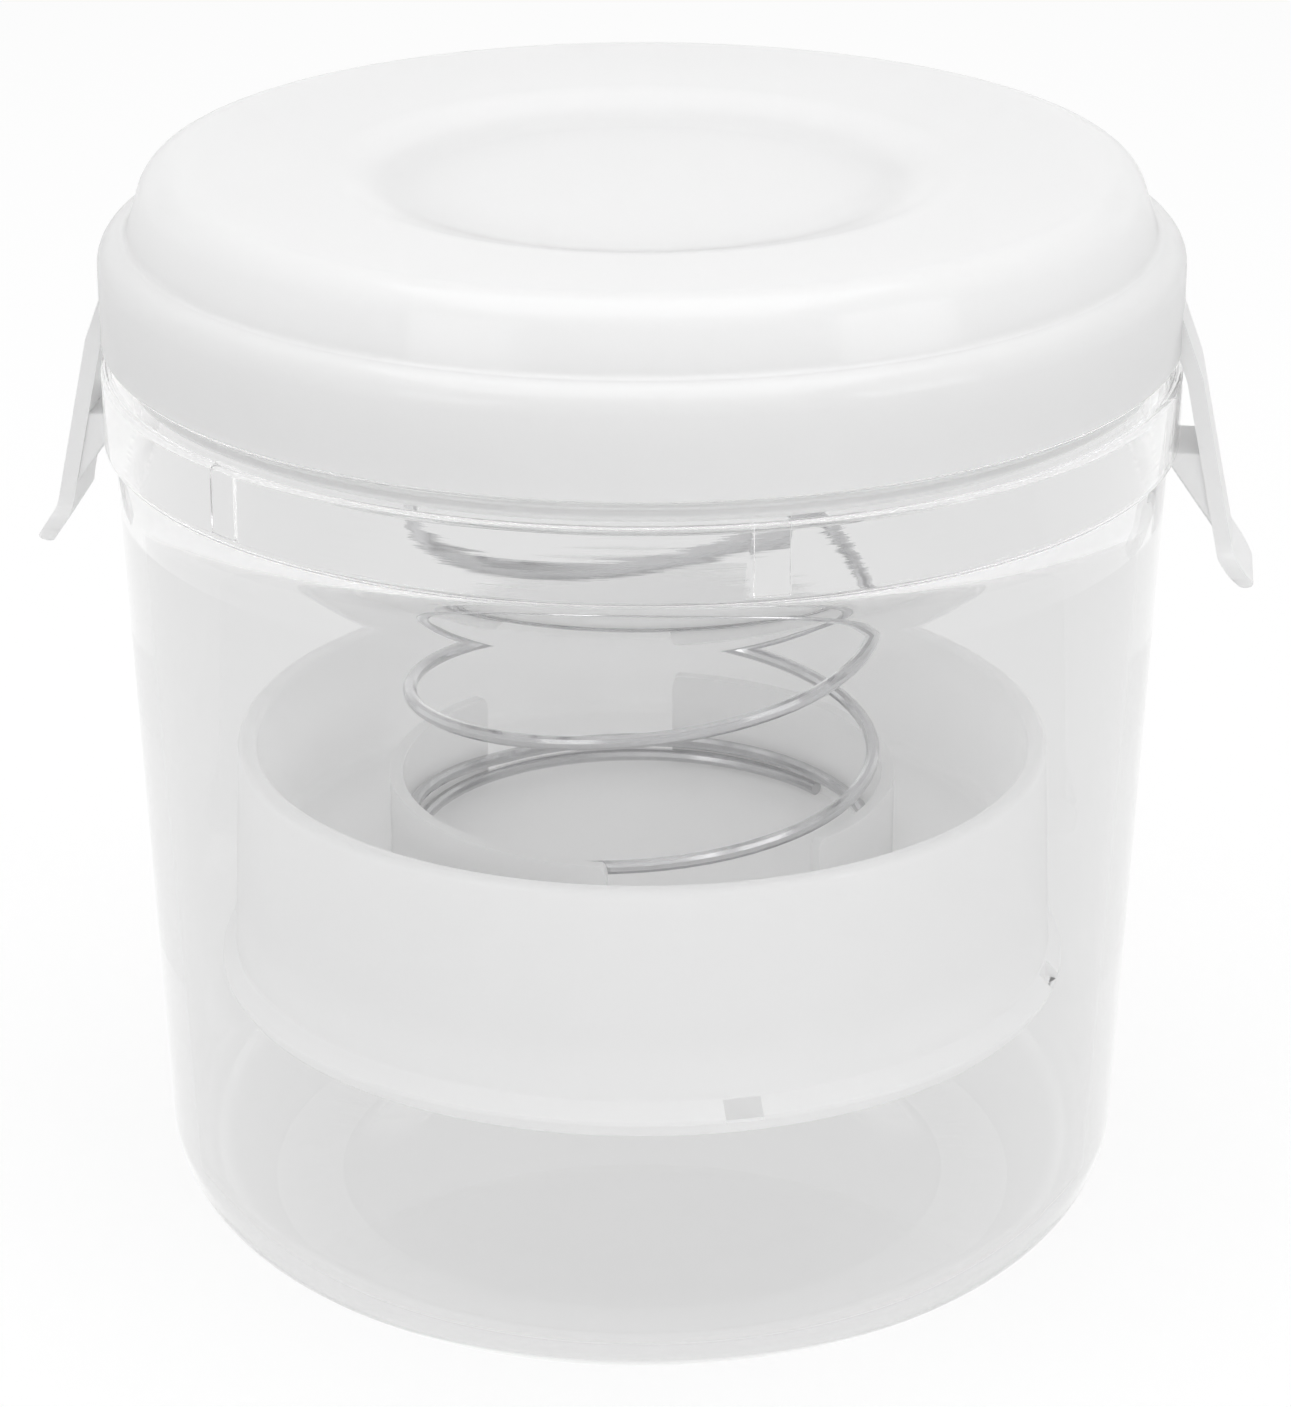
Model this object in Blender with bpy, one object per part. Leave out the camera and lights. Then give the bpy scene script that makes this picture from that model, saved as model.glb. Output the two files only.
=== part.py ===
"""Fermentation jar with a spring-loaded press plate, at rest and empty, with its lid latched.

Metres, +Z up. The jar stands on z = 0 and its axis is the Z axis. The two latches lie at +X and -X.
"""

import math

import bmesh
import bpy
from mathutils import Matrix, Vector

# Shared clearances and mesh fineness
GAP = 0.0003
TURN_STEPS = 60
ARC_STEP = math.radians(30)

# Jar body
BODY_R = 0.0787
BODY_DRAFT = 0.0411
BODY_WALL = 0.0029
FLOOR_Z = 0.0030
BASE_CORNER_R = 0.0155
BASE_RECESS_R = 0.0460
BASE_RECESS = 0.0008
COLLAR_FOOT_Z = 0.1261
COLLAR_HEIGHT = 0.0111
COLLAR_STEP = 0.0015
COLLAR_WALL = 0.0024
COLLAR_EDGE_R = 0.0008
RIM_HEIGHT = 0.0034
RIM_SETBACK = 0.0012
FLARE_HEIGHT = 0.0037
FLARE_R = 0.0158
MOUTH_FILLET_R = 0.0010
KEY_COUNT = 6
KEY_WIDTH = 0.0049
KEY_DEPTH = 0.0006
KEY_ANGLE = math.radians(-10.7)

# Lid
SKIRT_SETBACK = 0.0002
SKIRT_WALL = 0.0018
SKIRT_HEIGHT = 0.0158
SHOULDER_R = 0.0041
CROWN_FOOT_R = 0.0012
LID_WALL = 0.0020
CROWN_HEIGHT = 0.0101
CROWN_FLARE = 0.0019
CROWN_LEAN = 0.00325
CROWN_CORNER_R = 0.0055
CROWN_SLOPE = 0.0648
DISH_MARGIN = 0.0065
DISH_RAMP = 0.0105
DISH_DEPTH = 0.0029
DISH_EDGE_FILLET_R = 0.0100
DISH_FLOOR_FILLET_R = 0.0040
PLUG_DEPTH = 0.0044
PLUG_LIP = 0.0013
PLUG_LIP_HEIGHT = 0.0007
SEAT_RING_HEIGHT = 0.0068

# Gasket
GASKET_DEPTH = 0.00335
GASKET_HEIGHT = 0.0038
GASKET_LIPS = 3
GASKET_LIP_DEPTH = 0.0009

# Press plate
PLATE_CLEARANCE = 0.0114
PLATE_BOTTOM_Z = 0.0393
PLATE_FLOOR_LIFT = 0.0160
PLATE_FLOOR_WALL = 0.0023
PLATE_HEIGHT = 0.0378
PLATE_WALL = 0.0029
PLATE_FOOT_WALL = 0.0029
PLATE_WALL_STEP = 0.0022
PLATE_WALL_DRAFT = 0.043
PLATE_EDGE_R = 0.0011
PLATE_FLOOR_FILLET_R = 0.0020
BAND_LIFT = 0.0023
BAND_HEIGHT = 0.0031
BAND_PROUD = 0.0013
BAND_EDGE = 0.0008
NOTCH_COUNT = 6
NOTCH_WIDTH = 0.0055
NOTCH_DEPTH = 0.0020
NOTCH_ANGLE = math.radians(-10.7)
RING_R = 0.0390
RING_WALL = 0.0020
RING_HEIGHT = 0.0149
RING_GAP = math.radians(50)
RING_GAP_ANGLE = math.radians(-66.2)
RING_CORNER_R = 0.0025

# Spring
WIRE_R = 0.00105
WIRE_SLACK = 0.0003
END_TURN_GAP = 0.0004
END_TURNS = 1.25
LIVE_TURNS = 4.25
PITCH_SWELL = 0.25
KICK = 0.0030
KICK_TURNS = 0.40
SPRING_START = math.radians(44.5)
POINTS_PER_TURN = 24

# Latches
PIVOT_SETBACK = 0.0013
PIVOT_LIFT = 0.0048
LATCH_WIDTH = 0.0140
LEVER_THICKNESS = 0.00235
LEVER_CLEARANCE = 0.0005
LEVER_LEAN = math.radians(11.8)
LEVER_LENGTH = 0.0272
LEVER_BEND_R = 0.0040
PAD_LENGTH = 0.0072
PAD_LEAN = math.radians(33)
PAD_WIDTH = 0.0186
PAD_END_WIDTH = 0.0066
PAD_SIDE_R = 0.0030
PAD_END_R = 0.0062
HOOK_WIDTH = 0.0132
HOOK_HEIGHT = 0.0022
HOOK_CATCH = 0.0012
HOOK_RAMP = 0.0137
TRUNNION_R = 0.00055
TRUNNION_LENGTH = 0.0012
TRUNNION_CLEARANCE = 0.00025
POCKET_ROOM = 0.0017
BOSS_WIDTH = 0.0200
BOSS_WALL = 0.0014

# Worked out from the sizes above
COLLAR_R = BODY_R + COLLAR_STEP
MOUTH_R = COLLAR_R - COLLAR_WALL
RIM_R = COLLAR_R - RIM_SETBACK
SKIRT_R = COLLAR_R - SKIRT_SETBACK
PLUG_R = MOUTH_R - GASKET_DEPTH - 2 * GAP
CROWN_R = PLUG_R + CROWN_FLARE
CROWN_TOP_R = CROWN_R - CROWN_LEAN
COLLAR_TOP_Z = COLLAR_FOOT_Z + COLLAR_HEIGHT
RIM_TOP_Z = COLLAR_TOP_Z + RIM_HEIGHT
SKIRT_Z = RIM_TOP_Z + GAP
SHOULDER_Z = SKIRT_Z + SKIRT_HEIGHT
CROWN_Z = SHOULDER_Z + CROWN_HEIGHT
DISH_EDGE_R = RING_R + DISH_MARGIN
DISH_FLOOR_R = DISH_EDGE_R - DISH_RAMP
DISH_EDGE_Z = CROWN_Z - CROWN_SLOPE * (CROWN_TOP_R - DISH_EDGE_R)
DISH_FLOOR_Z = DISH_EDGE_Z - DISH_DEPTH
LID_SEAT_Z = DISH_FLOOR_Z - LID_WALL
PLATE_R = BODY_R - BODY_WALL - PLATE_CLEARANCE
PLATE_WALL_R = PLATE_R - PLATE_WALL_STEP
PLATE_FLOOR_Z = PLATE_BOTTOM_Z + PLATE_FLOOR_LIFT
PLATE_TOP_Z = PLATE_BOTTOM_Z + PLATE_HEIGHT
PLATE_RING_IN_R = RING_R - RING_WALL
COIL_R = PLATE_RING_IN_R - WIRE_SLACK - WIRE_R
PIVOT_X = SKIRT_R - PIVOT_SETBACK
PIVOT_Z = SKIRT_Z + PIVOT_LIFT
BARREL_R = LEVER_THICKNESS / 2


def body_r(z):
    """Outer radius of the jar's drafted wall at a height."""
    return BODY_R - BODY_DRAFT * (COLLAR_FOOT_Z - z)


def clear_scene():
    for obj in list(bpy.data.objects):
        bpy.data.objects.remove(obj, do_unlink=True)


def plastic(name, color, roughness, metallic=0.0):
    """A plain Principled material in one colour, as (red, green, blue, alpha)."""
    material = bpy.data.materials.new(name)
    material.use_nodes = True
    shader = material.node_tree.nodes["Principled BSDF"]
    shader.inputs["Base Color"].default_value = (*color[:3], 1.0)
    shader.inputs["Alpha"].default_value = color[3]
    shader.inputs["Roughness"].default_value = roughness
    shader.inputs["Metallic"].default_value = metallic
    return material


def object_from(name, bm, material=None):
    """Turns a bmesh into a named object, shaded smooth up to 35 degrees."""
    bmesh.ops.recalc_face_normals(bm, faces=bm.faces)
    mesh = bpy.data.meshes.new(name)
    bm.to_mesh(mesh)
    bm.free()
    mesh.shade_smooth()
    mesh.set_sharp_from_angle(angle=math.radians(35))
    obj = bpy.data.objects.new(name, mesh)
    bpy.context.collection.objects.link(obj)
    if material:
        mesh.materials.append(material)
    return obj


def rounded(corners):
    """Points of an outline whose corners are (across, up, fillet radius), each fillet as an arc."""
    points = []
    last = len(corners) - 1
    for index, (across, up, radius) in enumerate(corners):
        here = Vector((across, up))
        if radius <= 0 or index in (0, last):
            points.append(here)
            continue
        before = (Vector(corners[index - 1][:2]) - here).normalized()
        after = (Vector(corners[index + 1][:2]) - here).normalized()
        half = before.angle(after) / 2
        reach = radius / math.tan(half)
        middle = here + (before + after).normalized() * (radius / math.sin(half))
        start = here + before * reach - middle
        end = here + after * reach - middle
        sweep = start.angle_signed(end)
        steps = max(1, round(abs(sweep) / ARC_STEP))
        for step in range(steps + 1):
            points.append(middle + Matrix.Rotation(-sweep * step / steps, 2) @ start)
    return points


def turned(name, corners, material=None, closed=False):
    """Spins an outline of (radius, height, fillet) corners about the Z axis."""
    bm = bmesh.new()
    rim = [bm.verts.new((point.x, 0, point.y)) for point in rounded(corners)]
    pairs = list(zip(rim, rim[1:]))
    if closed:
        pairs.append((rim[-1], rim[0]))
    edges = [bm.edges.new(pair) for pair in pairs]
    bmesh.ops.spin(
        bm, geom=rim + edges, axis=(0, 0, 1), cent=(0, 0, 0), angle=math.tau, steps=TURN_STEPS, use_merge=True
    )
    bmesh.ops.remove_doubles(bm, verts=bm.verts, dist=1e-6)
    return object_from(name, bm, material)


def extruded(name, points, width, material=None):
    """A solid of the outline's (x, z) points, spread evenly to both sides of y = 0."""
    bm = bmesh.new()
    face = bm.faces.new([bm.verts.new((point[0], -width / 2, point[1])) for point in points])
    pushed = bmesh.ops.extrude_face_region(bm, geom=[face])["geom"]
    moved = [item for item in pushed if isinstance(item, bmesh.types.BMVert)]
    bmesh.ops.translate(bm, verts=moved, vec=(0, width, 0))
    return object_from(name, bm, material)


def box(name, low, high, turn=0.0):
    """A block between two corners, turned about the Z axis."""
    bm = bmesh.new()
    bmesh.ops.create_cube(bm, size=1)
    middle = (Vector(low) + Vector(high)) / 2
    size = Vector(high) - Vector(low)
    place = Matrix.Rotation(turn, 4, "Z") @ Matrix.Translation(middle) @ Matrix.Diagonal((*size, 1))
    bmesh.ops.transform(bm, matrix=place, verts=bm.verts)
    return object_from(name, bm)


def rod(name, radius, length, x, z, sides=16):
    """A round bar along Y, centred on (x, 0, z)."""
    bm = bmesh.new()
    bmesh.ops.create_cone(bm, cap_ends=True, segments=sides, radius1=radius, radius2=radius, depth=length)
    place = Matrix.Translation((x, 0, z)) @ Matrix.Rotation(math.pi / 2, 4, "X")
    bmesh.ops.transform(bm, matrix=place, verts=bm.verts)
    return object_from(name, bm)


def combine(target, tool, operation):
    """Adds a Boolean of the tool to the target, which then carries the hidden tool."""
    modifier = target.modifiers.new(f"{operation.title()} {tool.name}", "BOOLEAN")
    modifier.operation = operation
    modifier.object = tool
    tool.parent = target
    tool.hide_render = True
    tool.display_type = "WIRE"


def joint_axis(name, place, pieces):
    """An empty on a joint's axis that carries the pieces, each of which stays where it is."""
    axis = bpy.data.objects.new(name, None)
    axis.location = place
    axis.empty_display_size = LATCH_WIDTH
    bpy.context.collection.objects.link(axis)
    for piece in pieces:
        piece.parent = axis
        piece.matrix_parent_inverse = Matrix.Translation(place).inverted()


def jar_body(material):
    """The clear jar: a drafted shell with a stepped collar, a plain rim and six keys in its mouth."""
    foot_r = body_r(0)
    flare_z = COLLAR_FOOT_Z - FLARE_HEIGHT
    floor_r = body_r(FLOOR_Z) - BODY_WALL
    jar = turned(
        "jar_body",
        [
            (0, BASE_RECESS, 0),
            (BASE_RECESS_R, BASE_RECESS, 0),
            (BASE_RECESS_R + BASE_RECESS, 0, 0),
            (foot_r, 0, BASE_CORNER_R),
            (BODY_R, COLLAR_FOOT_Z, 0),
            (COLLAR_R, COLLAR_FOOT_Z, 0),
            (COLLAR_R, COLLAR_TOP_Z, COLLAR_EDGE_R),
            (RIM_R, COLLAR_TOP_Z, 0),
            (RIM_R, RIM_TOP_Z, 0),
            (MOUTH_R, RIM_TOP_Z, 0),
            (MOUTH_R, COLLAR_FOOT_Z, MOUTH_FILLET_R),
            (body_r(flare_z) - BODY_WALL, flare_z, FLARE_R),
            (floor_r, FLOOR_Z, BASE_CORNER_R - BODY_WALL),
            (0, FLOOR_Z, 0),
        ],
        material,
    )
    for index in range(KEY_COUNT):
        turn = KEY_ANGLE + index * math.tau / KEY_COUNT
        low = (MOUTH_R - KEY_DEPTH, -KEY_WIDTH / 2, COLLAR_FOOT_Z + KEY_DEPTH)
        high = (MOUTH_R + COLLAR_WALL / 2, KEY_WIDTH / 2, COLLAR_TOP_Z - GAP)
        combine(jar, box(f"key_{index}", low, high, turn), "UNION")
    return jar


def lid(material):
    """The lid: skirt, shoulder, crown and dish outside; plug, gasket groove and spring seat inside."""
    plug_in_r = PLUG_R - LID_WALL
    groove_top_z = SKIRT_Z - PLUG_DEPTH + PLUG_LIP_HEIGHT + GASKET_HEIGHT + 2 * GAP
    ring_in_r = PLATE_RING_IN_R
    shell = turned(
        "lid",
        [
            (0, DISH_FLOOR_Z, 0),
            (DISH_FLOOR_R, DISH_FLOOR_Z, DISH_FLOOR_FILLET_R),
            (DISH_EDGE_R, DISH_EDGE_Z, DISH_EDGE_FILLET_R),
            (CROWN_TOP_R, CROWN_Z, CROWN_CORNER_R),
            (CROWN_R, SHOULDER_Z, CROWN_FOOT_R),
            (SKIRT_R, SHOULDER_Z, SHOULDER_R),
            (SKIRT_R, SKIRT_Z, 0),
            (SKIRT_R - SKIRT_WALL, SKIRT_Z, 0),
            (SKIRT_R - SKIRT_WALL, SHOULDER_Z - LID_WALL, 0),
            (PLUG_R, SHOULDER_Z - LID_WALL, 0),
            (PLUG_R, groove_top_z + PLUG_LIP, 0),
            (PLUG_R + PLUG_LIP, groove_top_z + PLUG_LIP_HEIGHT, 0),
            (PLUG_R + PLUG_LIP, groove_top_z, 0),
            (PLUG_R, groove_top_z, 0),
            (PLUG_R, SKIRT_Z - PLUG_DEPTH + PLUG_LIP_HEIGHT, 0),
            (PLUG_R + PLUG_LIP, SKIRT_Z - PLUG_DEPTH + PLUG_LIP_HEIGHT, 0),
            (PLUG_R + PLUG_LIP, SKIRT_Z - PLUG_DEPTH, 0),
            (plug_in_r, SKIRT_Z - PLUG_DEPTH, 0),
            (plug_in_r, SHOULDER_Z - LID_WALL, 0),
            (CROWN_R - LID_WALL, SHOULDER_Z, 0),
            (CROWN_TOP_R - LID_WALL, CROWN_Z - LID_WALL, CROWN_CORNER_R - LID_WALL),
            (DISH_EDGE_R, DISH_EDGE_Z - LID_WALL, 0),
            (ring_in_r + RING_WALL, LID_SEAT_Z + LID_WALL / 2, 0),
            (ring_in_r + RING_WALL, LID_SEAT_Z - SEAT_RING_HEIGHT, 0),
            (ring_in_r, LID_SEAT_Z - SEAT_RING_HEIGHT, 0),
            (ring_in_r, LID_SEAT_Z, 0),
            (0, LID_SEAT_Z, 0),
        ],
        material,
    )
    pocket_r = BARREL_R + GAP
    boss_low_z = PIVOT_Z - pocket_r - BOSS_WALL / 2
    boss_high_z = PIVOT_Z + pocket_r + BOSS_WALL
    for side in (1, -1):
        mark = "right" if side > 0 else "left"
        turn = 0 if side > 0 else math.pi
        back_x = PIVOT_X - pocket_r
        low = (back_x - BOSS_WALL, -BOSS_WIDTH / 2, boss_low_z)
        high = (SKIRT_R - SKIRT_WALL / 2, BOSS_WIDTH / 2, boss_high_z)
        combine(shell, box(f"hinge_boss_{mark}", low, high, turn), "UNION")
        half = LATCH_WIDTH / 2 + GAP
        low = (back_x, -half, SKIRT_Z - PLUG_DEPTH)
        high = (SKIRT_R + SKIRT_WALL, half, PIVOT_Z + POCKET_ROOM)
        combine(shell, box(f"hinge_pocket_{mark}", low, high, turn), "DIFFERENCE")
        bore_r = TRUNNION_R + TRUNNION_CLEARANCE
        bore_length = LATCH_WIDTH + 2 * (TRUNNION_LENGTH + GAP)
        bore = rod(f"hinge_bore_{mark}", bore_r, bore_length, side * PIVOT_X, PIVOT_Z)
        combine(shell, bore, "DIFFERENCE")
    return shell


def lid_gasket(material):
    """The lipped ring in the plug's groove, whose lips wipe the jar's mouth."""
    inner = PLUG_R + GAP
    lip_r = MOUTH_R - GAP
    low = SKIRT_Z - PLUG_DEPTH + PLUG_LIP_HEIGHT + GAP
    pitch = GASKET_HEIGHT / GASKET_LIPS
    corners = [(inner, low, 0)]
    for index in range(GASKET_LIPS):
        corners.append((lip_r - GASKET_LIP_DEPTH, low + index * pitch, 0))
        corners.append((lip_r, low + (index + 0.5) * pitch, 0))
    corners.append((lip_r - GASKET_LIP_DEPTH, low + GASKET_HEIGHT, 0))
    corners.append((inner, low + GASKET_HEIGHT, 0))
    return turned("lid_gasket", corners, material, closed=True)


def ring_segment(name, middle):
    """One of the two curved walls of the plate's spring ring, its upper ends rounded."""
    bm = bmesh.new()
    span = math.pi - RING_GAP
    sink = PLATE_FLOOR_WALL / 2
    low = PLATE_FLOOR_Z - sink
    high = PLATE_FLOOR_Z + RING_HEIGHT
    inner = PLATE_RING_IN_R
    outline = [(inner, low), (RING_R, low), (RING_R, high), (inner, high)]
    face = bm.faces.new([bm.verts.new((across, 0, up)) for across, up in outline])
    steps = round(span / math.tau * TURN_STEPS)
    bmesh.ops.spin(bm, geom=[face], axis=(0, 0, 1), cent=(0, 0, 0), angle=span, steps=steps)
    bm.faces.ensure_lookup_table()
    ends = []
    for edge in bm.edges:
        first, second = edge.verts
        flat = abs(first.co.z - high) < 1e-6 and abs(second.co.z - high) < 1e-6
        angles = [math.atan2(vert.co.y, vert.co.x) for vert in edge.verts]
        same = abs(angles[0] - angles[1]) < 1e-4
        at_end = min(abs(angles[0]), abs(angles[0] - span)) < 1e-3
        if flat and same and at_end:
            ends.append(edge)
    bmesh.ops.bevel(bm, geom=ends, offset=RING_CORNER_R, segments=3, profile=0.5, affect="EDGES")
    turn = Matrix.Rotation(middle - span / 2, 4, "Z")
    bmesh.ops.transform(bm, matrix=turn, verts=bm.verts)
    return object_from(name, bm)


def press_plate(material):
    """The press plate: floor, high wall, notched sloping band near its foot, and the split ring for the spring."""
    band_low_z = PLATE_BOTTOM_Z + BAND_LIFT
    band_high_z = band_low_z + BAND_HEIGHT
    band_r = PLATE_R + BAND_PROUD
    wall_foot_r = PLATE_WALL_R + PLATE_WALL_DRAFT * (PLATE_TOP_Z - band_high_z)
    under_r = wall_foot_r - PLATE_WALL
    plate = turned(
        "press_plate",
        [
            (0, PLATE_FLOOR_Z, 0),
            (PLATE_WALL_R - PLATE_WALL, PLATE_FLOOR_Z, PLATE_FLOOR_FILLET_R),
            (PLATE_WALL_R - PLATE_WALL, PLATE_TOP_Z, PLATE_EDGE_R),
            (PLATE_WALL_R, PLATE_TOP_Z, PLATE_EDGE_R),
            (wall_foot_r, band_high_z, 0),
            (band_r, band_low_z + BAND_EDGE, 0),
            (band_r, band_low_z, 0),
            (PLATE_R, band_low_z, 0),
            (PLATE_R, PLATE_BOTTOM_Z, 0),
            (PLATE_R - PLATE_FOOT_WALL, PLATE_BOTTOM_Z, 0),
            (under_r, PLATE_FLOOR_Z - PLATE_FLOOR_WALL, 0),
            (0, PLATE_FLOOR_Z - PLATE_FLOOR_WALL, 0),
        ],
        material,
    )
    for index in range(2):
        middle = RING_GAP_ANGLE + math.pi / 2 + index * math.pi
        combine(plate, ring_segment(f"ring_wall_{index}", middle), "UNION")
    for index in range(NOTCH_COUNT):
        turn = NOTCH_ANGLE + index * math.tau / NOTCH_COUNT
        low = (band_r - NOTCH_DEPTH, -NOTCH_WIDTH / 2, band_low_z)
        high = (band_r + NOTCH_DEPTH, NOTCH_WIDTH / 2, band_high_z + NOTCH_DEPTH)
        combine(plate, box(f"notch_{index}", low, high, turn), "DIFFERENCE")
    return plate


def soft_step(share):
    """Eases from 0 to 1 as the share goes from 0 to 1."""
    share = min(max(share, 0), 1)
    return share * share * (3 - 2 * share)


def coil_path():
    """Centre line of the wire: closed end turns, a quick rise off each, and a pitch that swells between them."""
    low = PLATE_FLOOR_Z + WIRE_SLACK + WIRE_R
    high = LID_SEAT_Z - WIRE_SLACK - WIRE_R
    end_pitch = 2 * WIRE_R + END_TURN_GAP
    live_rise = (high - low) - 2 * (END_TURNS * end_pitch + KICK)
    total = 2 * END_TURNS + LIVE_TURNS
    points = []
    for index in range(round(total * POINTS_PER_TURN) + 1):
        turns = index / POINTS_PER_TURN
        live = min(max(turns - END_TURNS, 0), LIVE_TURNS)
        share = live / LIVE_TURNS
        swell = share - math.sin(math.tau * share) / math.tau
        blend = (1 - PITCH_SWELL) * share + PITCH_SWELL * swell
        angle = SPRING_START + turns * math.tau
        kicks = soft_step(live / KICK_TURNS) + soft_step(1 - (LIVE_TURNS - live) / KICK_TURNS)
        rise = (turns - live) * end_pitch + blend * live_rise + kicks * KICK
        points.append(Vector((COIL_R * math.cos(angle), COIL_R * math.sin(angle), low + rise)))
    return points


def least_gap(points):
    """Smallest clear distance between the wire's turns, between points half a turn or more apart."""
    nearest = math.inf
    for index, point in enumerate(points):
        for other in points[index + POINTS_PER_TURN // 2 :]:
            nearest = min(nearest, (point - other).length)
    return nearest - 2 * WIRE_R


def press_spring(material):
    """The coil spring, one unbroken wire from the plate's floor to the lid's seat."""
    points = coil_path()
    curve = bpy.data.curves.new("press_spring", "CURVE")
    curve.dimensions = "3D"
    curve.bevel_depth = WIRE_R
    curve.bevel_resolution = 1
    curve.use_fill_caps = True
    spline = curve.splines.new("POLY")
    spline.points.add(len(points) - 1)
    for target, point in zip(spline.points, points):
        target.co = (*point, 1)
    spline.use_smooth = True
    curve.materials.append(material)
    obj = bpy.data.objects.new("press_spring", curve)
    bpy.context.collection.objects.link(obj)
    print(f"press_spring: least gap to itself {least_gap(points) * 1000:.2f} mm")
    return obj


def leaning(angle):
    """Unit direction in the (x, z) plane that runs down and leans outwards by an angle."""
    return Vector((math.sin(angle), -math.cos(angle)))


def strip(middle, half, radius):
    """Outline of an even strip along a middle line, its bends filleted and its last end rounded."""
    inner = []
    outer = []
    for index, point in enumerate(middle):
        ways = []
        if index > 0:
            ways.append((point - middle[index - 1]).normalized())
        if index < len(middle) - 1:
            ways.append((middle[index + 1] - point).normalized())
        along = sum(ways, Vector((0, 0))).normalized()
        across = Vector((-along.y, along.x)) * (half / along.dot(ways[0]))
        is_end = index == len(middle) - 1
        fillet = 0.9 * half if is_end else radius
        inner.append((*(point - across), fillet))
        outer.append((*(point + across), fillet))
    return rounded(inner + outer[::-1])


def lever_face(name, top_z, bend_z, end_z):
    """Prism along X with the lever's front view: even down to the bend, then a wider, rounded pad."""
    above = top_z + 2 * BARREL_R
    foot = end_z - BARREL_R
    narrow = LATCH_WIDTH / 2
    wide = PAD_WIDTH / 2
    side = [
        (narrow, above, 0),
        (narrow, bend_z + (wide - narrow) / 2, PAD_SIDE_R),
        (wide, bend_z - (wide - narrow), PAD_SIDE_R),
        (PAD_END_WIDTH / 2, foot, PAD_END_R),
        (0, foot, 0),
    ]
    half = rounded(side)
    outline = half + [Vector((-point.x, point.y)) for point in half[-2::-1]]
    reach = 2 * SKIRT_R
    bm = bmesh.new()
    face = bm.faces.new([bm.verts.new((-reach, point.x, point.y)) for point in outline])
    pushed = bmesh.ops.extrude_face_region(bm, geom=[face])["geom"]
    moved = [item for item in pushed if isinstance(item, bmesh.types.BMVert)]
    bmesh.ops.translate(bm, verts=moved, vec=(2 * reach, 0, 0))
    return object_from(name, bm)


def latch(name, side, material):
    """One latch: barrel and trunnions in the lid's pocket, lever, hook under the collar, finger pad."""
    half = LEVER_THICKNESS / 2
    pivot = Vector((PIVOT_X, PIVOT_Z))
    knee = Vector((COLLAR_R + LEVER_CLEARANCE + half, COLLAR_TOP_Z))
    bend = knee + leaning(LEVER_LEAN) * LEVER_LENGTH
    end = bend + leaning(PAD_LEAN) * PAD_LENGTH
    lever = strip([pivot, knee, bend, end], half, LEVER_BEND_R)
    body = extruded(name, [(side * point.x, point.y) for point in lever], PAD_WIDTH, material)
    combine(body, lever_face(f"{name}_face", pivot.y, bend.y, end.y), "INTERSECT")
    hook_top = COLLAR_FOOT_Z - GAP
    hook_tip = COLLAR_R - HOOK_CATCH

    def lever_x(z):
        """Middle of the lever's thickness at a height, where the hook is rooted."""
        return knee.x + (knee.y - z) * math.tan(LEVER_LEAN)

    ramp_z = hook_top - HOOK_RAMP
    hook = [
        (hook_tip, hook_top),
        (lever_x(hook_top), hook_top),
        (lever_x(ramp_z), ramp_z),
        (hook_tip, hook_top - HOOK_HEIGHT),
    ]
    web = extruded(f"{name}_hook", [(side * x, z) for x, z in hook], HOOK_WIDTH)
    barrel = rod(f"{name}_barrel", BARREL_R, LATCH_WIDTH, side * PIVOT_X, PIVOT_Z)
    pins = rod(
        f"{name}_trunnions", TRUNNION_R, LATCH_WIDTH + 2 * TRUNNION_LENGTH, side * PIVOT_X, PIVOT_Z, sides=12
    )
    for tool in (web, barrel, pins):
        combine(body, tool, "UNION")
    return body


def main():
    clear_scene()
    white = (0.86, 0.86, 0.86, 1.0)
    latch_white = plastic("latch white", white, 0.32)
    jar_body(plastic("clear plastic", (0.93, 0.94, 0.94, 0.25), 0.05))
    lifted = [
        lid(plastic("lid white", white, 0.30)),
        lid_gasket(plastic("silicone", (0.80, 0.80, 0.80, 1.0), 0.55)),
        press_spring(plastic("spring steel", (0.62, 0.62, 0.63, 1.0), 0.22, metallic=1.0)),
    ]
    joint_axis("lid_lift_axis", (0, 0, SKIRT_Z), lifted)
    joint_axis("press_travel_axis", (0, 0, PLATE_FLOOR_Z), [press_plate(plastic("plate white", white, 0.35))])
    for name, side in (("latch_right", 1), ("latch_left", -1)):
        joint_axis(f"{name}_hinge", (side * PIVOT_X, 0, PIVOT_Z), [latch(name, side, latch_white)])


main()
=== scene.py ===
"""Looks of a fermentation jar with a latched lid and a spring-loaded press plate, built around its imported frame."""

import math

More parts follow.
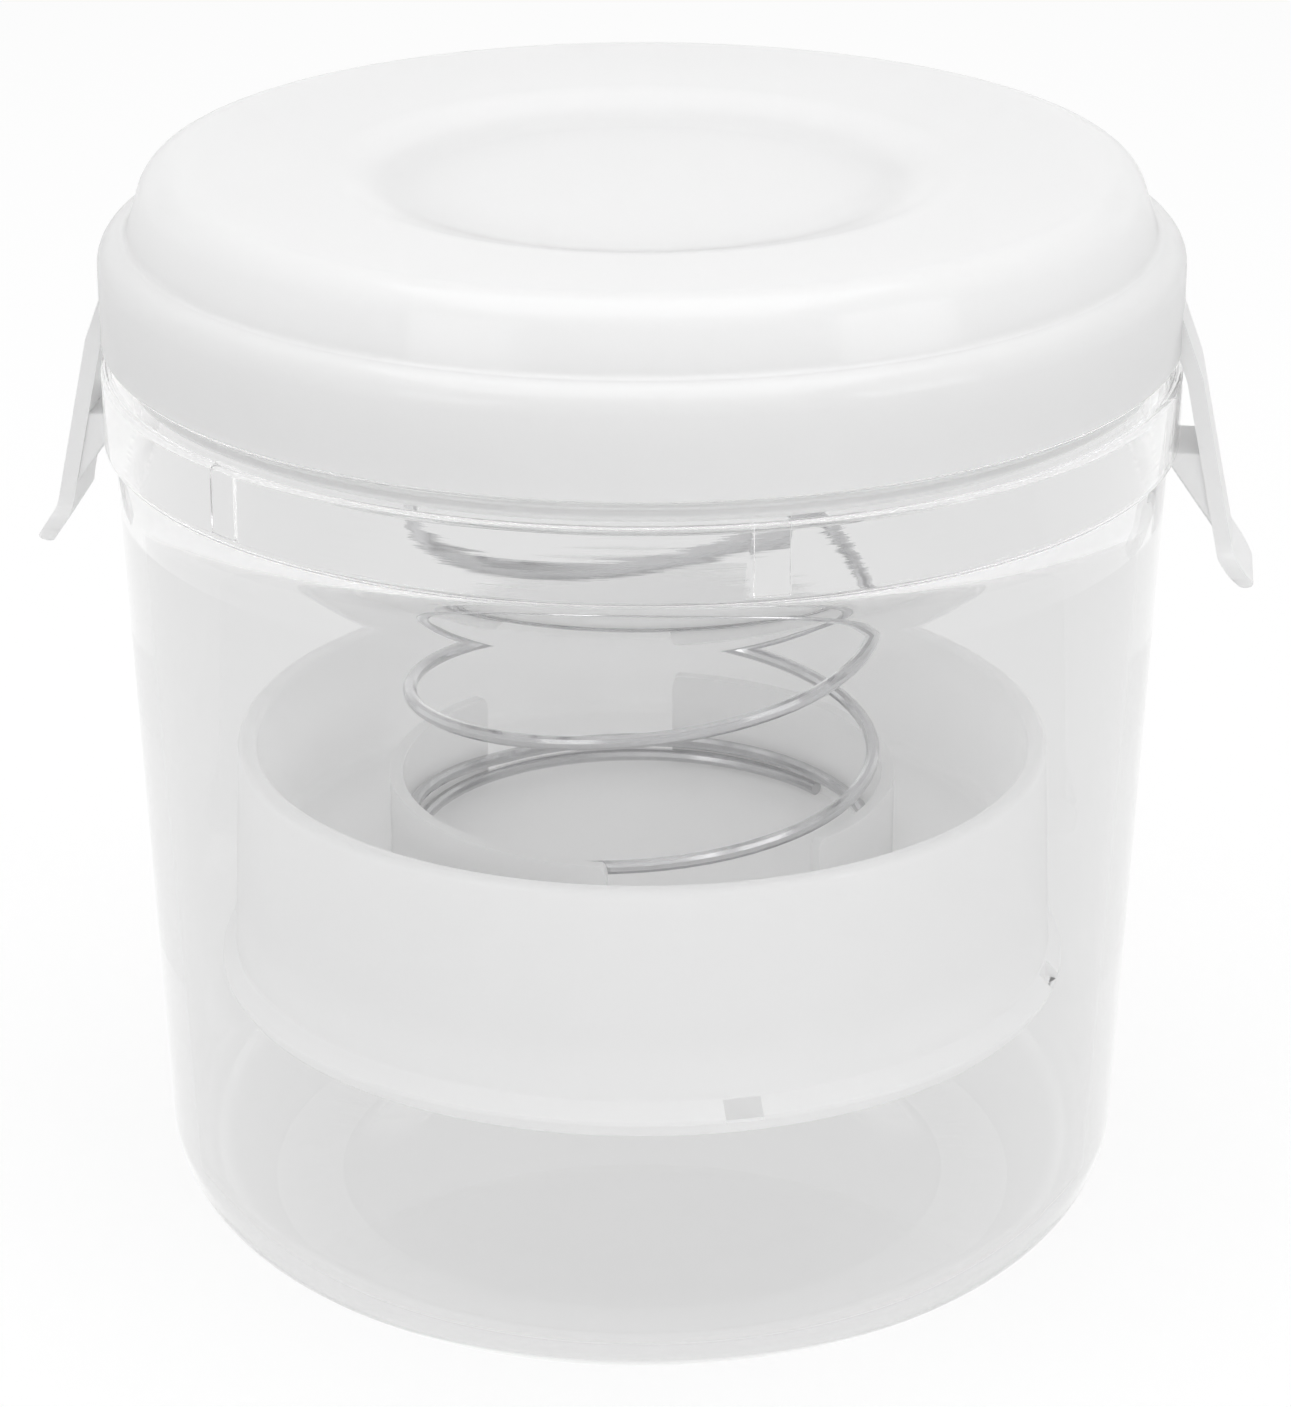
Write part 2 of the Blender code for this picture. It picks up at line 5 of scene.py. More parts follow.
import bpy
from bpy.props import FloatProperty, FloatVectorProperty, IntProperty, PointerProperty
from mathutils import Matrix, Vector
from mathutils.kdtree import KDTree
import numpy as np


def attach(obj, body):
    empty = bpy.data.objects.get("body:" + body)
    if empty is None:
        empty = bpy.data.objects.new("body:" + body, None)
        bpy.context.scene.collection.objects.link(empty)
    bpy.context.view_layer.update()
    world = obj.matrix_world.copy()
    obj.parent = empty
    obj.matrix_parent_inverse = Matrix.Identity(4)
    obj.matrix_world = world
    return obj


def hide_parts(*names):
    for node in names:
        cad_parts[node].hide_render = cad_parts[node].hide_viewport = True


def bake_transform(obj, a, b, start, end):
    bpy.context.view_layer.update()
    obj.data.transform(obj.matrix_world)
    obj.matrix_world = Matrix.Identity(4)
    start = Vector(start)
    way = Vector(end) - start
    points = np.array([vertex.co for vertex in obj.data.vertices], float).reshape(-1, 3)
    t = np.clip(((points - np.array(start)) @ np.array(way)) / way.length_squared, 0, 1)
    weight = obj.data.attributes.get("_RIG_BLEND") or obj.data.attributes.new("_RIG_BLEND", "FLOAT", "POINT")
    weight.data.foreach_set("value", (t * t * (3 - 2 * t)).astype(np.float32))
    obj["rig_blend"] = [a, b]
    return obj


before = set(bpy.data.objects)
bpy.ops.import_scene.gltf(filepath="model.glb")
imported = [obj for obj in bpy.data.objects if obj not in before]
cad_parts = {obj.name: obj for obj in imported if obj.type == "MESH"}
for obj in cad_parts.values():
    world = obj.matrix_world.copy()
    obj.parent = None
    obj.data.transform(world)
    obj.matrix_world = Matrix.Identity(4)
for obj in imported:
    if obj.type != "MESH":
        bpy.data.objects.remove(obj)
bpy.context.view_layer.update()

bl_info = {
    "name": "Fermentation Jar",
    "version": (1, 0, 0),
    "blender": (4, 5, 0),
    "location": "View3D > Sidebar > Fermentation Jar",
    "description": "Models a clear fermentation jar with a white lid, two latches and a spring press",
    "category": "Add Mesh",
}

GAP = 0.0003
ARC_STEP = math.radians(7.5)
SMOOTH_ANGLE = math.radians(32)


def size(name, description, default):
    """A length that a user may change."""
    return FloatProperty(name=name, description=description, default=default, precision=5, unit="LENGTH")


def turn_of(name, description, default):
    """An angle that a user may change, given in degrees."""
    return FloatProperty(
        name=name, description=description, default=math.radians(default), subtype="ANGLE", unit="ROTATION"
    )


def tint(name, description, default):
    """A linear colour that a user may change."""
    return FloatVectorProperty(
        name=name, description=description, default=default, subtype="COLOR", size=3, min=0, max=1
    )


# Sizes and colours


class JarSizes(bpy.types.PropertyGroup):
    """The clear jar."""

    body_r: size("Body radius", "Outer radius of the wall just under the collar", 0.0787)
    draft: FloatProperty(name="Draft", description="How much the wall leans, as radius over height", default=0.0411)
    wall: size("Wall", "Thickness of the wall", 0.0029)
    floor: size("Floor", "Thickness of the floor", 0.0030)
    base_corner_r: size("Base corner", "Outer radius of the rounded foot", 0.0155)
    recess_r: size("Recess radius", "Radius of the shallow recess under the floor", 0.0460)
    recess: size("Recess depth", "Depth of the recess under the floor", 0.0008)
    recess_ramp: size("Recess ramp", "Width of the soft slope at the recess's edge", 0.0090)
    collar_z: size("Collar foot", "Height of the collar's lower edge", 0.1261)
    collar_height: size("Collar height", "Height of the thick collar", 0.0111)
    collar_step: size("Collar step", "How far the collar stands proud of the wall", 0.0015)
    collar_wall: size("Collar wall", "Thickness of the collar", 0.0024)
    rim_height: size("Rim height", "Height of the thinner rim above the collar", 0.0034)
    rim_setback: size("Rim setback", "How far the rim stands back from the collar", 0.0012)
    flare_height: size("Flare height", "Height in which the inside opens to the mouth", 0.0037)
    flare_r: size("Flare radius", "Radius of the inside's bend into the flare", 0.0158)
    key_width: size("Key width", "Width of each upright key in the mouth", 0.0049)
    key_depth: size("Key depth", "How far each key stands out of the mouth", 0.0006)
    key_angle: turn_of("Key angle", "Where the first key stands", -10.7)
    steps: IntProperty(name="Steps", description="Faces around each turned piece", default=288, min=24)


class LidSizes(bpy.types.PropertyGroup):
    """The lid and its gasket."""

    skirt_r: size("Skirt radius", "Outer radius of the skirt", 0.0800)
    skirt_wall: size("Skirt wall", "Thickness of the skirt", 0.0018)
    skirt_z: size("Skirt foot", "Height of the skirt's lower edge", 0.1409)
    shoulder_z: size("Shoulder", "Height of the shoulder on top of the skirt", 0.1567)
    shoulder_r: size("Shoulder radius", "Radius of the shoulder's curve", 0.0041)
    wall: size("Wall", "Thickness of the lid", 0.0020)
    plug_r: size("Plug radius", "Outer radius of the plug in the jar's mouth", 0.07385)
    crown_r: size("Crown radius", "Radius at the foot of the raised crown", 0.07575)
    crown_top_r: size("Crown top", "Radius at which the crown's leaning wall would meet its top", 0.0725)
    crown_z: size("Crown height", "Height at which the crown's wall would meet its top", 0.1668)
    crown_corner_r: size("Crown corner", "Radius of the crown's edge", 0.0055)
    crown_slope: FloatProperty(name="Crown slope", description="Fall of the top towards its middle", default=0.0648)
    dish_edge_r: size("Dish edge", "Radius where the dish begins", 0.0455)
    dish_floor_r: size("Dish floor", "Radius of the dish's flat floor", 0.0350)
    dish_depth: size("Dish depth", "Depth of the dish", 0.0029)
    plug_depth: size("Plug depth", "How far the plug reaches below the skirt", 0.0044)
    plug_lip: size("Plug lip", "How far the plug's lips stand out", 0.0013)
    plug_lip_height: size("Lip height", "Height of the plug's lower lip", 0.0007)
    seat_height: size("Seat height", "Height of the ring that holds the spring's top", 0.0068)
    gasket_height: size("Gasket height", "Height of the gasket", 0.0038)
    gasket_r: size("Gasket radius", "Outer radius of the gasket's lips", 0.0775)
    gasket_lip: size("Gasket lip", "Depth of the grooves between the gasket's lips", 0.0009)


class PlateSizes(bpy.types.PropertyGroup):
    """The press plate."""

    foot_z: size("Foot", "Height of the plate's lower edge at rest", 0.0393)
    floor_z: size("Floor", "Height of the plate's floor at rest", 0.0553)
    floor_wall: size("Floor wall", "Thickness of the floor", 0.0023)
    top_z: size("Top", "Height of the plate's upper edge at rest", 0.0771)
    foot_r: size("Foot radius", "Outer radius at the lower edge", 0.0644)
    wall_r: size("Wall radius", "Outer radius at the upper edge", 0.0622)
    wall: size("Wall", "Thickness of the wall", 0.0029)
    foot_wall: size("Foot wall", "Thickness of the wall's lower edge", 0.0029)
    draft: FloatProperty(name="Draft", description="How much the wall leans, as radius over height", default=0.043)
    edge_r: size("Edge radius", "Rounding of the upper edge", 0.0011)
    band_lift: size("Band lift", "Height of the band above the lower edge", 0.0023)
    band_height: size("Band height", "Height of the band", 0.0031)
    band_proud: size("Band proud", "How far the band's edge stands out", 0.0013)
    band_edge: size("Band edge", "Height of the upright edge under the band's slope", 0.0008)
    notch_width: size("Notch width", "Width of each notch in the band", 0.0055)
    notch_depth: size("Notch depth", "Depth of each notch in the band", 0.0020)
    notch_angle: turn_of("Notch angle", "Where the first notch is", -10.7)
    ring_r: size("Ring radius", "Outer radius of the ring that holds the spring", 0.0390)
    ring_wall: size("Ring wall", "Thickness of the ring", 0.0020)
    ring_height: size("Ring height", "Height of the ring above the floor", 0.0149)
    ring_gap: turn_of("Ring gap", "Width of each of the ring's two gaps", 50)
    ring_gap_angle: turn_of("Gap angle", "Where the first gap is", -66.2)
    ring_corner_r: size("Ring corner", "Rounding of the ring's upper ends", 0.0025)


class SpringSizes(bpy.types.PropertyGroup):
    """The coil spring."""

    wire_r: size("Wire radius", "Radius of the wire", 0.00105)
    coil_r: size("Coil radius", "Radius of the coil to the middle of its wire", 0.03565)
    slack: size("Slack", "Gap between the wire and its two seats", 0.0003)
    end_gap: size("End gap", "Gap between the wire's end turn and the next turn", 0.0004)
    end_turns: FloatProperty(name="End turns", description="Closed turns at each end", default=1.25)
    live_turns: FloatProperty(name="Live turns", description="Open turns between the ends", default=4.25)
    kick: size("Kick", "Quick rise with which the wire leaves each closed end", 0.0030)
    kick_turns: FloatProperty(name="Kick turns", description="Part of a turn that the quick rise takes", default=0.40)
    swell: FloatProperty(name="Swell", description="How much the pitch opens towards the middle", default=0.25)
    start: turn_of("Start", "Where the lower end of the wire lies", 44.5)


class LatchSizes(bpy.types.PropertyGroup):
    """The two latches."""

    width: size("Width", "Width of the lever", 0.0140)
    thickness: size("Thickness", "Thickness of the lever", 0.00235)
    clearance: size("Clearance", "Gap between the lever and the collar", 0.0005)
    pivot_setback: size("Pivot setback", "How far the hinge lies inside the skirt", 0.0013)
    pivot_lift: size("Pivot lift", "Height of the hinge above the skirt's foot", 0.0048)
    lean: turn_of("Lean", "How far the lever leans out", 11.8)
    length: size("Length", "Length of the lever below the collar's top", 0.0272)
    bend_r: size("Bend", "Radius of the lever's bends", 0.0040)
    pad_length: size("Pad length", "Length of the finger pad", 0.0072)
    pad_lean: turn_of("Pad lean", "How far the finger pad leans out", 33)
    pad_width: size("Pad width", "Width of the finger pad", 0.0186)
    pad_end_width: size("Pad end width", "Width of the flat part of the pad's round end", 0.0066)
    pad_side_r: size("Pad side", "Rounding of the pad's sides", 0.0030)
    pad_end_r: size("Pad end", "Rounding of the pad's end", 0.0062)
    hook_width: size("Hook width", "Width of the hook", 0.0132)
    hook_height: size("Hook height", "Height of the hook's nose", 0.0022)
    hook_catch: size("Hook catch", "How far the hook reaches under the collar", 0.0012)
    hook_ramp: size("Hook ramp", "Height of the hook's ramp", 0.0137)
    trunnion_r: size("Trunnion radius", "Radius of the hinge pins", 0.00055)
    trunnion: size("Trunnion length", "Length of each hinge pin", 0.0012)
    bore_slack: size("Bore slack", "Gap around each hinge pin", 0.00025)
    pocket_room: size("Pocket room", "Height of the slot above the hinge", 0.0017)
    boss_width: size("Boss width", "Width of the hinge boss in the skirt", 0.0200)
    boss_wall: size("Boss wall", "Thickness of the hinge boss", 0.0014)


class Colours(bpy.types.PropertyGroup):
    """Colours of the finishes."""

    clear: tint("Clear plastic", "Colour that the clear plastic lets through", (0.979, 0.979, 0.979))
    lid: tint("Lid", "White of the lid", (0.95, 0.95, 0.95))
    plate: tint("Plate", "White of the press plate", (0.965, 0.965, 0.965))
    latch: tint("Latch", "White of the latches", (0.92, 0.92, 0.92))
    steel: tint("Steel", "Bright drawn wire", (0.60, 0.60, 0.61))
    silicone: tint("Silicone", "Milky gasket", (0.93, 0.93, 0.93))


class FermentationJar(bpy.types.PropertyGroup):
    """Every size and colour of the jar."""

    jar: PointerProperty(type=JarSizes)
    lid: PointerProperty(type=LidSizes)
    plate: PointerProperty(type=PlateSizes)
    spring: PointerProperty(type=SpringSizes)
    latch: PointerProperty(type=LatchSizes)
    colours: PointerProperty(type=Colours)


# Modelling by hand


def start_fresh():
    """Leaves edit mode and selects nothing."""
    if bpy.context.object and bpy.context.object.mode != "OBJECT":
        bpy.ops.object.mode_set(mode="OBJECT")
    bpy.ops.object.select_all(action="DESELECT")


def only(piece):
    """Selects one piece and makes it active."""
    start_fresh()
    piece.select_set(True)
    bpy.context.view_layer.objects.active = piece


def rounded(corners):
    """Points of an outline whose corners are (across, up, fillet radius), each fillet as a fine arc."""
    points = []
    last = len(corners) - 1
    for index, (across, up, radius) in enumerate(corners):
        here = Vector((across, up))
        if radius <= 0 or index in (0, last):
            points.append(here)
            continue
        before = (Vector(corners[index - 1][:2]) - here).normalized()
        after = (Vector(corners[index + 1][:2]) - here).normalized()
        half = before.angle(after) / 2
        reach = radius / math.tan(half)
        middle = here + (before + after).normalized() * (radius / math.sin(half))
        start = here + before * reach - middle
        end = here + after * reach - middle
        sweep = start.angle_signed(end)
        steps = max(2, round(abs(sweep) / ARC_STEP))
        for step in range(steps + 1):
            points.append(middle + Matrix.Rotation(-sweep * step / steps, 2) @ start)
    return points


def drawn_line(name, points, closed=False):
    """A chain of edges in the XZ plane, extruded point by point from a single vertex. Stays in edit mode."""
    start_fresh()
    bpy.ops.mesh.primitive_plane_add(size=0.01)
    piece = bpy.context.object
    piece.name = piece.data.name = name
    bpy.ops.object.mode_set(mode="EDIT")
    bpy.ops.mesh.select_mode(type="VERT")
    bpy.ops.mesh.select_all(action="SELECT")
    bpy.ops.mesh.merge(type="CENTER")
    bpy.ops.transform.translate(value=(points[0].x, 0, points[0].y))
    for before, after in zip(points, points[1:]):
        step = (after.x - before.x, 0, after.y - before.y)
        bpy.ops.mesh.extrude_vertices_move(TRANSFORM_OT_translate={"value": step})
    bpy.ops.mesh.select_all(action="SELECT")
    if closed:
        bpy.ops.mesh.edge_face_add()
    return piece


def finished(piece, angle=SMOOTH_ANGLE):
    """Closes and turns the faces outwards, and shades them smooth up to an angle."""
    only(piece)
    bpy.ops.object.mode_set(mode="EDIT")
    bpy.ops.mesh.select_all(action="SELECT")
    bpy.ops.mesh.remove_doubles(threshold=2e-6)
    bpy.ops.mesh.normals_make_consistent(inside=False)
    bpy.ops.object.mode_set(mode="OBJECT")
    bpy.ops.object.transform_apply(location=True, rotation=True, scale=True)
    bpy.ops.object.shade_smooth_by_angle(angle=angle)
    return piece


def turned(name, corners, steps, closed=False):
    """Spins an outline of (radius, height, fillet) corners round the Z axis."""
    points = rounded(corners)
    if closed:
        points.append(points[0])
    piece = drawn_line(name, points)
    bpy.ops.mesh.spin(
        steps=steps, angle=math.tau, use_auto_merge=True, use_normal_flip=False, center=(0, 0, 0), axis=(0, 0, 1)
    )
    return finished(piece)


def prism(name, points, width):
    """A solid of (x, z) points, spread evenly to both sides of y = 0."""
    piece = drawn_line(name, points, closed=True)
    bpy.ops.transform.translate(value=(0, -width / 2, 0))
    bpy.ops.mesh.extrude_region_move(TRANSFORM_OT_translate={"value": (0, width, 0)})
    return finished(piece)


def block(name, low, high, turn=0.0):
    """A block between two corners, turned about the Z axis."""
    start_fresh()
    low, high = Vector(low), Vector(high)
    bpy.ops.mesh.primitive_cube_add(size=1, location=(low + high) / 2, scale=high - low)
    piece = bpy.context.object
    piece.name = piece.data.name = name
    bpy.ops.object.transform_apply(location=True, rotation=True, scale=True)
    piece.rotation_euler.z = turn
    return finished(piece)


def rod(name, radius, length, x, z, sides=48):
    """A round bar along Y."""
    start_fresh()
    bpy.ops.mesh.primitive_cylinder_add(
        vertices=sides, radius=radius, depth=length, location=(x, 0, z), rotation=(math.pi / 2, 0, 0)
    )
    piece = bpy.context.object
    piece.name = piece.data.name = name
    return finished(piece)


def softened(piece, width, segments=3, angle=math.radians(40)):
    """Rounds the sharp edges."""
    only(piece)
    bevel = piece.modifiers.new("Soft edges", "BEVEL")
    bevel.width = width
    bevel.segments = segments
    bevel.limit_method = "ANGLE"
    bevel.angle_limit = angle
    bpy.ops.object.modifier_apply(modifier=bevel.name)
    return piece


def combine(piece, operation, *tools):
    """Joins, cuts or intersects a piece with tools that stand apart from each other, and removes them."""
    only(tools[0])
    for tool in tools[1:]:
        tool.select_set(True)
    if len(tools) > 1:
        bpy.ops.object.join()
    only(piece)
    cut = piece.modifiers.new(operation.title(), "BOOLEAN")
    cut.operation = operation
    cut.object = tools[0]
    bpy.ops.object.modifier_apply(modifier=cut.name)
    bpy.data.objects.remove(tools[0], do_unlink=True)
    return piece


# Finishes


class Wire:
    """An output of a node, which adds a Math node when it meets a number or another output."""

    def __init__(self, paint, socket):
        self.paint = paint
        self.socket = socket

    def with_other(self, operation, first, second):
        return self.paint.node("ShaderNodeMath", {"operation": operation}, {0: first, 1: second})

    def __add__(self, other):
        return self.with_other("ADD", self, other)

    def __radd__(self, other):
        return self.with_other("ADD", other, self)

    def __sub__(self, other):
        return self.with_other("SUBTRACT", self, other)

    def __rsub__(self, other):
        return self.with_other("SUBTRACT", other, self)

    def __mul__(self, other):
        return self.with_other("MULTIPLY", self, other)

    def __rmul__(self, other):
        return self.with_other("MULTIPLY", other, self)

    def __truediv__(self, other):
        return self.with_other("DIVIDE", self, other)

    def __gt__(self, other):
        return self.with_other("GREATER_THAN", self, other)

    def __lt__(self, other):
        return self.with_other("LESS_THAN", self, other)


class Paint:
    """A material's or world's node tree, written as expressions."""

    def __init__(self, owner):
        owner.use_nodes = True
        self.owner = owner
        self.tree = owner.node_tree
        self.tree.nodes.clear()

    def node(self, kind, settings=None, sockets=None, output=0):
        """Adds a node: its settings first, then the values or links of its sockets, and gives an output."""
        made = self.tree.nodes.new(kind)
        for key, value in (settings or {}).items():
            setattr(made, key, value)
        for key, value in (sockets or {}).items():
            if isinstance(value, Wire):
                self.tree.links.new(value.socket, made.inputs[key])
            else:
                made.inputs[key].default_value = value
        return Wire(self, made.outputs[output])

    def place(self):
        """Position on the piece, in metres."""
        return self.node("ShaderNodeTexCoord", output="Object")

    def way(self):
        """Direction from the middle of the world."""
        return self.node("ShaderNodeTexCoord", output="Generated")

    def ramp(self, value, low, high):
        """A soft step from 0 at the low value to 1 at the high one."""
        return self.node(
            "ShaderNodeMapRange", {"interpolation_type": "SMOOTHSTEP"}, {"Value": value, "From Min": low, "From Max": high}
        )

    def noise(self, scale, detail=3.0, stretch=(1, 1, 1)):
        """Soft random values, finer with a larger scale."""
        spot = self.node("ShaderNodeMapping", {"vector_type": "POINT"}, {"Vector": self.place(), "Scale": stretch})
        return self.node(
            "ShaderNodeTexNoise", {}, {"Vector": spot, "Scale": scale, "Detail": detail, "Roughness": 0.55}, "Fac"
        )

    def specks(self, scale, share):
        """Rare tiny dots, 1 inside a dot."""
        cell = self.node("ShaderNodeTexVoronoi", {}, {"Vector": self.place(), "Scale": scale}, "Distance")
        pick = self.node("ShaderNodeTexVoronoi", {}, {"Vector": self.place(), "Scale": scale}, "Color")
        lone = self.node("ShaderNodeSeparateColor", {}, {"Color": pick}) > (1 - share)
        return (cell < 0.16) * lone

    def mixed(self, share, first, second):
        """A colour between two."""
        return self.node(
            "ShaderNodeMix", {"data_type": "RGBA", "clamp_factor": True}, {0: share, 6: first, 7: second}, 2
        )

    def bump(self, height, depth, strength=1.0):
        """A normal that follows a height of a given depth in metres."""
        return self.node("ShaderNodeBump", {}, {"Height": height, "Distance": depth, "Strength": strength})

    def surface(self, shader):
        kind = "ShaderNodeOutputWorld" if isinstance(self.owner, bpy.types.World) else "ShaderNodeOutputMaterial"
        self.node_end(kind, shader)
        return self.owner

    def node_end(self, kind, shader):
        end = self.tree.nodes.new(kind)
        self.tree.links.new(shader.socket, end.inputs["Surface"])


def rgba(colour, factor=1.0):
    return (*[min(channel * factor, 1) for channel in colour], 1)


def moulded_white(name, colour, roughness, grain, through=0.5):
    """Thin moulded plastic that lets light through: an even white with faint flow marks and rare specks."""
    paint = Paint(bpy.data.materials.new(name))
    flow = paint.noise(22, stretch=(1, 1, 2.5))
    dust = paint.specks(95, 0.012)
    shade = paint.mixed(flow, rgba(colour, 0.985), rgba(colour, 1.01))
    shade = paint.mixed(dust * 0.15, shade, rgba(colour, 0.7))
    fine = paint.noise(grain, 2)
    skin = paint.node(
        "ShaderNodeBsdfPrincipled",
        {},
        {
            "Base Color": shade,
            "Roughness": roughness + (fine - 0.5) * 0.05 + (flow - 0.5) * 0.05,
            "IOR": 1.49,
            "Normal": paint.bump(fine, 0.000006, 0.2),
        },
    )
    glow = paint.node("ShaderNodeBsdfTranslucent", {}, {"Color": rgba(colour)})
    return paint.surface(paint.node("ShaderNodeMixShader", {}, {0: through, 1: skin, 2: glow}))


def clear_plastic(name, colour, collar_low, collar_high):
    """Clear styrene: drawn lines across the collar, faint ripples below, and lamps that shine through."""
    paint = Paint(bpy.data.materials.new(name))
    height = paint.node("ShaderNodeSeparateXYZ", {}, {"Vector": paint.place()}, "Z")
    lines = paint.noise(60, 4, stretch=(0.15, 0.15, 22))
    ripple = paint.noise(14, 1, stretch=(1, 1, 0.6))
    in_collar = (height > collar_low) * (height < collar_high)
    relief = lines * in_collar * 0.12 + ripple * 0.2
    glass = paint.node(
        "ShaderNodeBsdfPrincipled",
        {},
        {
            "Base Color": rgba(colour),
            "Roughness": 0.015,
            "IOR": 1.57,
            "Transmission Weight": 1.0,
            "Normal": paint.bump(relief, 0.00012, 0.5),
        },
    )
    ray = "ShaderNodeLightPath"
    bounces = paint.node(ray, output="Glossy Depth")
    trapped = (bounces > 3.5) + (bounces > 0.5) * (height > collar_low - 0.012) * 0.75
    straight = paint.node(ray, output="Is Shadow Ray") + paint.node(ray, output="Is Diffuse Ray") + trapped
    share = paint.node("ShaderNodeMath", {"operation": "MINIMUM"}, {0: straight, 1: 1.0})
    through = paint.node("ShaderNodeBsdfTransparent", {}, {"Color": rgba(colour, 1.06)})
    return paint.surface(paint.node("ShaderNodeMixShader", {}, {0: share, 1: glass, 2: through}))


def drawn_steel(name, colour):
    """Bright spring wire with fine draw marks."""
    paint = Paint(bpy.data.materials.new(name))
    marks = paint.noise(900, 2, stretch=(1, 1, 3))
    stain = paint.noise(60, 3)
    shade = paint.mixed(stain, rgba(colour, 0.86), rgba(colour, 1.1))
    return paint.surface(
        paint.node(
            "ShaderNodeBsdfPrincipled",
            {},
            {
                "Base Color": shade,
                "Metallic": 1.0,
                "Roughness": 0.08 + marks * 0.10,
                "Normal": paint.bump(marks, 0.00002, 0.3),
            },
        )
    )


def milky_rubber(name, colour):
    """Translucent silicone, matt with a faint bloom."""
    paint = Paint(bpy.data.materials.new(name))
    bloom = paint.noise(120, 3)
    skin = paint.node(
        "ShaderNodeBsdfPrincipled",
        {},
        {
            "Base Color": paint.mixed(bloom, rgba(colour, 0.96), rgba(colour, 1.02)),
            "Roughness": 0.48 + bloom * 0.14,
            "IOR": 1.42,
            "Normal": paint.bump(bloom, 0.00002, 0.3),
        },
    )
    glow = paint.node("ShaderNodeBsdfTranslucent", {}, {"Color": rgba(colour)})
    return paint.surface(paint.node("ShaderNodeMixShader", {}, {0: 0.4, 1: skin, 2: glow}))


def dressed(piece, material, body, slot, *nodes):
    """Gives a finished piece its material, its body and the frame nodes that it stands for; its slot is not used."""
    piece.data.materials.clear()
    piece.data.materials.append(material)
    if body:
        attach(piece, body)
    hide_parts(*nodes)
    return piece


# Pieces


class JarOperator:
    """What the operators share."""

    bl_options = {"REGISTER"}

    def execute(self, context):
        self.make(context.scene.fermentation_jar)
        return {"FINISHED"}


class FERMENTATION_OT_jar_body(JarOperator, bpy.types.Operator):
    """Turns the clear jar and adds the keys in its mouth"""

    bl_idname = "fermentation.jar_body"
    bl_label = "Jar"

    def make(self, sizes):
        jar = sizes.jar
        collar_r = jar.body_r + jar.collar_step
        mouth_r = collar_r - jar.collar_wall
        rim_r = collar_r - jar.rim_setback
        collar_top = jar.collar_z + jar.collar_height
        rim_top = collar_top + jar.rim_height

        def wall_r(z):
            return jar.body_r - jar.draft * (jar.collar_z - z)

        flare_z = jar.collar_z - jar.flare_height
        piece = turned(
            "jar_clear_wall",
            [
                (0, jar.recess, 0),
                (jar.recess_r - jar.recess_ramp, jar.recess, 0.030),
                (jar.recess_r + jar.recess, 0, 0.030),
                (wall_r(0), 0, jar.base_corner_r),
                (jar.body_r, jar.collar_z, 0.0003),
                (collar_r, jar.collar_z, 0.00025),
                (collar_r, collar_top, 0.0008),
                (rim_r, collar_top, 0.00025),
                (rim_r, rim_top, 0.0005),
                (mouth_r, rim_top, 0.0005),
                (mouth_r, jar.collar_z, 0.0010),
                (wall_r(flare_z) - jar.wall, flare_z, jar.flare_r),
                (wall_r(jar.floor) - jar.wall, jar.floor, jar.base_corner_r - jar.wall),
                (0, jar.floor, 0),
            ],
            jar.steps,
        )
        low = (mouth_r - jar.key_depth, -jar.key_width / 2, jar.collar_z + jar.key_depth)
        high = (mouth_r + jar.collar_wall / 2, jar.key_width / 2, collar_top - GAP)
        keys = [block("key", low, high, jar.key_angle + index * math.tau / 6) for index in range(6)]
        combine(piece, "UNION", *keys)
        finished(piece)
        material = clear_plastic("clear plastic", sizes.colours.clear, jar.collar_z + 0.0006, collar_top - 0.0004)
        dressed(piece, material, "jar", "clear_plastic", "jar_body")


